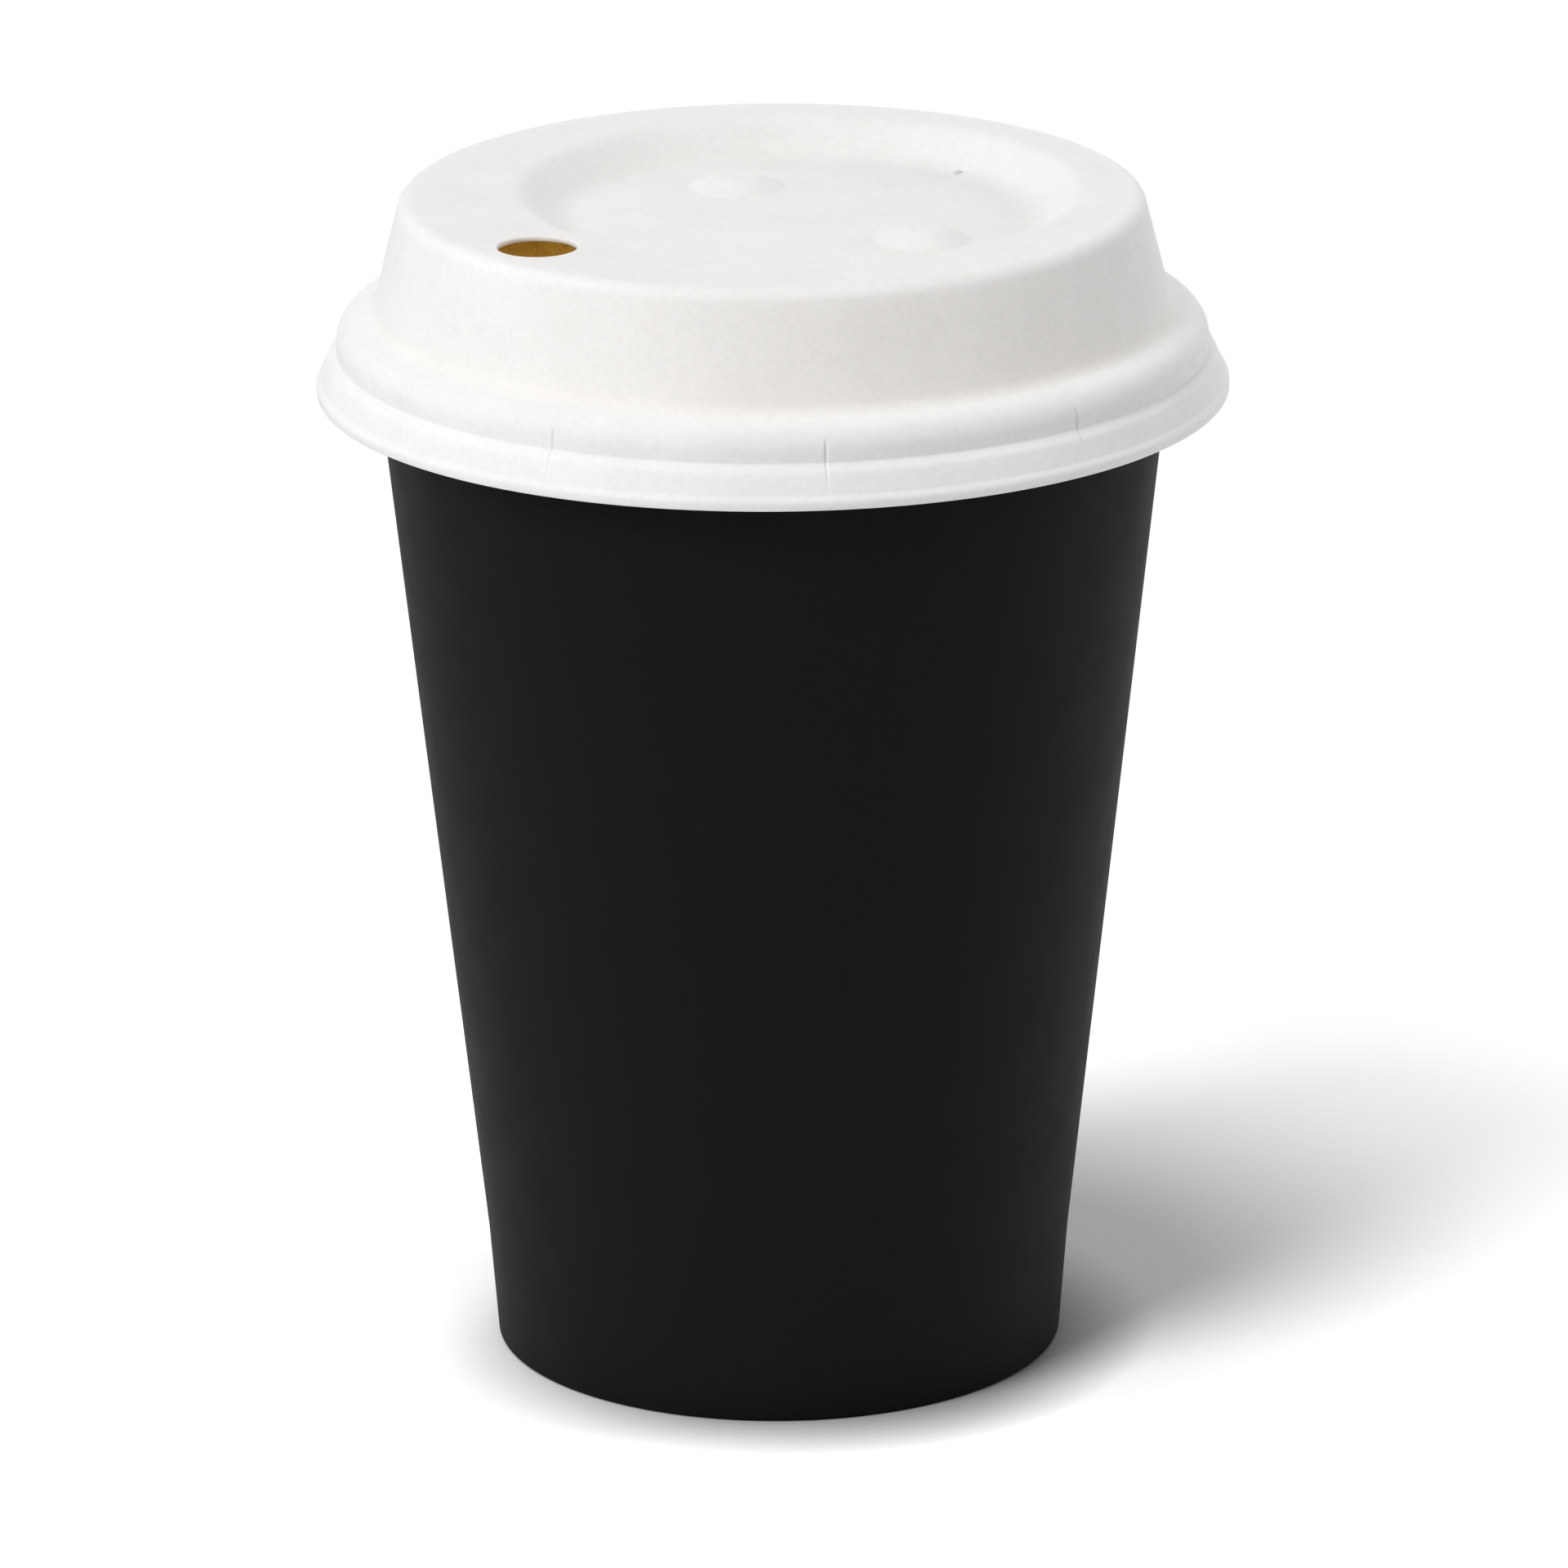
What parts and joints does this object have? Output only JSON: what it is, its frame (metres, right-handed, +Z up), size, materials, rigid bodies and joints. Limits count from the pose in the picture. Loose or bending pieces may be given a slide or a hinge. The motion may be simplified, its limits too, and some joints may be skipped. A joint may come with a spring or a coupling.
{
  "type": "paper coffee cup",
  "caption": "Tapered single-wall paper cup with a rolled rim, a recessed base and a domed moulded-fibre lid with a sip hole that lifts off.",
  "frame": {"origin": "centre of the ring that the cup stands on, at table height", "axes": "+Z up along the cup's axis; +Y towards the side seam; the sip hole faces -X and -Y"},
  "size_m": [0.096, 0.096, 0.1261],
  "materials": {
    "board": "matte black printed coated board",
    "base_board": "plain brown coated board",
    "moulded_fibre": "matte white moulded plant fibre"
  },
  "bodies": {
    "cup": {"cup_wall": "board", "cup_base": "base_board"},
    "lid": {"lid": "moulded_fibre"}
  },
  "joints": [
    {"name": "lid_lift", "type": "slide", "parent": "cup", "child": "lid", "axis": [0, 0, 1], "range_m": [0, 0.03]}
  ]
}
